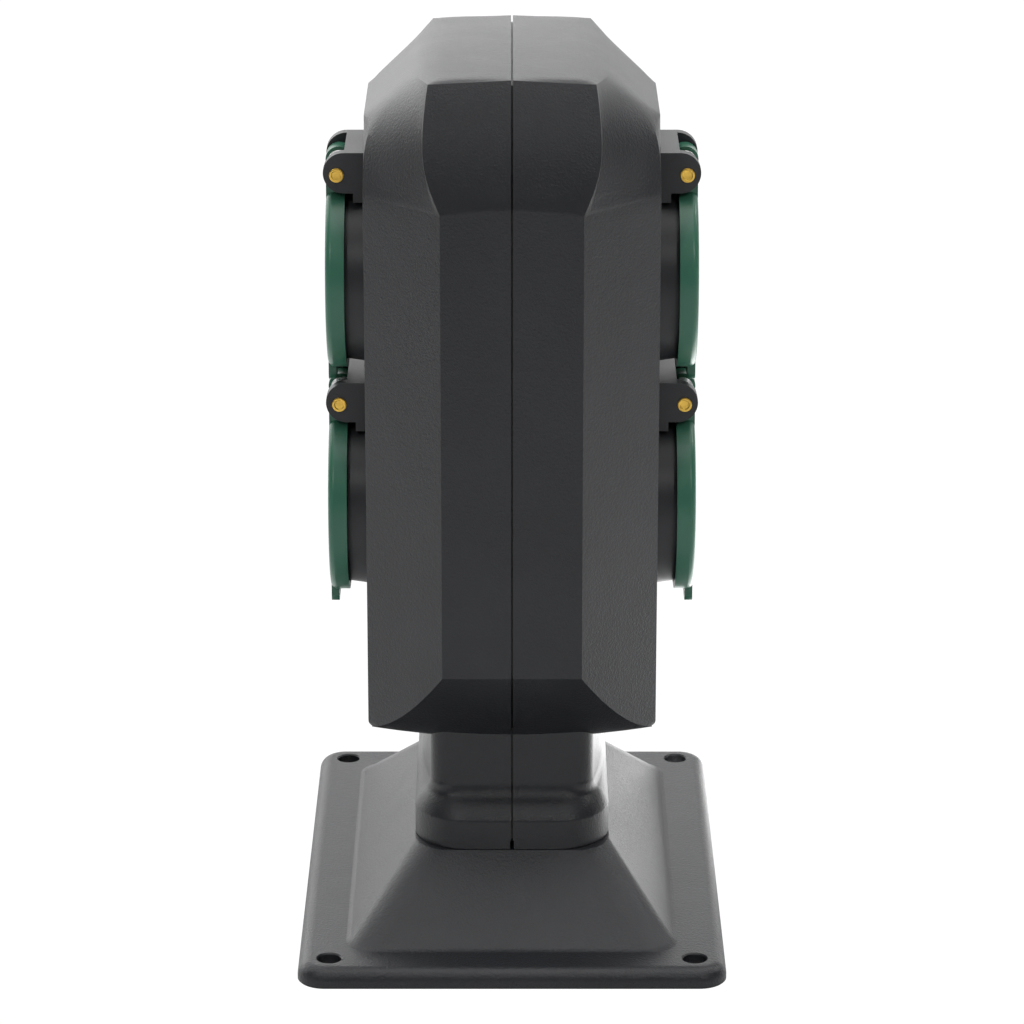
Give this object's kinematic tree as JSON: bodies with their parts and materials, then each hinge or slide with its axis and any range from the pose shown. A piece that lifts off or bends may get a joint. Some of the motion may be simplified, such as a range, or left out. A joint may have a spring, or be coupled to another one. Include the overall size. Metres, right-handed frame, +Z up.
{
  "type": "garden socket column",
  "caption": "Outdoor socket column of two shells on a screw-down foot, with sprung round lids over earthed sockets on both broad sides.",
  "frame": {"origin": "centre of the foot plate's underside", "axes": "+Z up, X through the thickness of the column from one pair of sockets to the other, Y along the long side of the foot"},
  "size_m": [0.108, 0.153, 0.2244],
  "materials": {
    "housing_plastic": "fine textured anthracite plastic, satin",
    "frame_plastic": "black plastic, satin",
    "insert_plastic": "dark grey plastic, satin",
    "cover_plastic": "ivory plastic, matt",
    "lid_plastic": "green plastic, semi-gloss",
    "seal_rubber": "soft black rubber",
    "pin_brass": "bright turned brass",
    "contact_brass": "stamped brass",
    "spring_steel": "drawn spring wire",
    "screw_steel": "zinc plated steel",
    "bar_metal": "copper strip",
    "terminal_plastic": "white plastic, matt",
    "gland_plastic": "black plastic, matt",
    "shutter_plastic": "red plastic, satin"
  },
  "bodies": {
    "column": {"foot": "housing_plastic", "shell_left": "housing_plastic", "shell_right": "housing_plastic", "shell_screws": "screw_steel", "foot_screws": "screw_steel", "frame_left_upper": "frame_plastic", "frame_left_lower": "frame_plastic", "frame_right_upper": "frame_plastic", "frame_right_lower": "frame_plastic", "insert_left_upper": "insert_plastic", "insert_left_lower": "insert_plastic", "insert_right_upper": "insert_plastic", "insert_right_lower": "insert_plastic", "contact_cover_left_upper": "cover_plastic", "contact_cover_left_lower": "cover_plastic", "contact_cover_right_upper": "cover_plastic", "contact_cover_right_lower": "cover_plastic", "pin_contacts_left_upper": "contact_brass", "pin_contacts_left_lower": "contact_brass", "pin_contacts_right_upper": "contact_brass", "pin_contacts_right_lower": "contact_brass", "earth_clip_left_upper": "contact_brass", "earth_clip_left_lower": "contact_brass", "earth_clip_right_upper": "contact_brass", "earth_clip_right_lower": "contact_brass", "hinge_pin_left_upper": "pin_brass", "hinge_pin_left_lower": "pin_brass", "hinge_pin_right_upper": "pin_brass", "hinge_pin_right_lower": "pin_brass", "lid_spring_left_upper": "spring_steel", "lid_spring_left_lower": "spring_steel", "lid_spring_right_upper": "spring_steel", "lid_spring_right_lower": "spring_steel", "insert_screws": "screw_steel", "live_bar": "bar_metal", "neutral_bar": "bar_metal", "earth_bar": "bar_metal", "terminal_block": "terminal_plastic", "terminal_screws": "screw_steel", "gland_body": "gland_plastic", "gland_nut": "gland_plastic", "gland_cap": "gland_plastic", "gland_seal": "seal_rubber"},
    "shutter_left_upper": {"shutter_left_upper": "shutter_plastic"},
    "shutter_left_lower": {"shutter_left_lower": "shutter_plastic"},
    "shutter_right_upper": {"shutter_right_upper": "shutter_plastic"},
    "shutter_right_lower": {"shutter_right_lower": "shutter_plastic"},
    "lid_left_upper": {"lid_left_upper": "lid_plastic", "lid_seal_left_upper": "seal_rubber"},
    "lid_left_lower": {"lid_left_lower": "lid_plastic", "lid_seal_left_lower": "seal_rubber"},
    "lid_right_upper": {"lid_right_upper": "lid_plastic", "lid_seal_right_upper": "seal_rubber"},
    "lid_right_lower": {"lid_right_lower": "lid_plastic", "lid_seal_right_lower": "seal_rubber"}
  },
  "joints": [
    {"name": "lid_left_upper_hinge", "type": "hinge", "parent": "column", "child": "lid_left_upper", "pos_m": [-0.044, 0, 0.1937], "axis": [0, 1, 0], "range_deg": [0, 100], "stiffness_Nm_per_rad": 0.0034, "springref_deg": -67.61, "deforming": ["lid_spring_left_upper"]},
    {"name": "lid_left_lower_hinge", "type": "hinge", "parent": "column", "child": "lid_left_lower", "pos_m": [-0.044, 0, 0.1337], "axis": [0, 1, 0], "range_deg": [0, 100], "stiffness_Nm_per_rad": 0.0034, "springref_deg": -67.61, "deforming": ["lid_spring_left_lower"]},
    {"name": "lid_right_upper_hinge", "type": "hinge", "parent": "column", "child": "lid_right_upper", "pos_m": [0.044, 0, 0.1937], "axis": [0, -1, 0], "range_deg": [0, 100], "stiffness_Nm_per_rad": 0.0034, "springref_deg": -67.61, "deforming": ["lid_spring_right_upper"]},
    {"name": "lid_right_lower_hinge", "type": "hinge", "parent": "column", "child": "lid_right_lower", "pos_m": [0.044, 0, 0.1337], "axis": [0, -1, 0], "range_deg": [0, 100], "stiffness_Nm_per_rad": 0.0034, "springref_deg": -67.61, "deforming": ["lid_spring_right_lower"]},
    {"name": "shutter_left_upper_turn", "type": "hinge", "parent": "column", "child": "shutter_left_upper", "pos_m": [-0.0238, 0, 0.1657], "axis": [-1, 0, 0], "range_deg": [0, 36], "stiffness_Nm_per_rad": 0.00005, "springref_deg": -34.38},
    {"name": "shutter_left_lower_turn", "type": "hinge", "parent": "column", "child": "shutter_left_lower", "pos_m": [-0.0238, 0, 0.1057], "axis": [-1, 0, 0], "range_deg": [0, 36], "stiffness_Nm_per_rad": 0.00005, "springref_deg": -34.38},
    {"name": "shutter_right_upper_turn", "type": "hinge", "parent": "column", "child": "shutter_right_upper", "pos_m": [0.0238, 0, 0.1657], "axis": [1, 0, 0], "range_deg": [0, 36], "stiffness_Nm_per_rad": 0.00005, "springref_deg": -34.38},
    {"name": "shutter_right_lower_turn", "type": "hinge", "parent": "column", "child": "shutter_right_lower", "pos_m": [0.0238, 0, 0.1057], "axis": [1, 0, 0], "range_deg": [0, 36], "stiffness_Nm_per_rad": 0.00005, "springref_deg": -34.38}
  ]
}
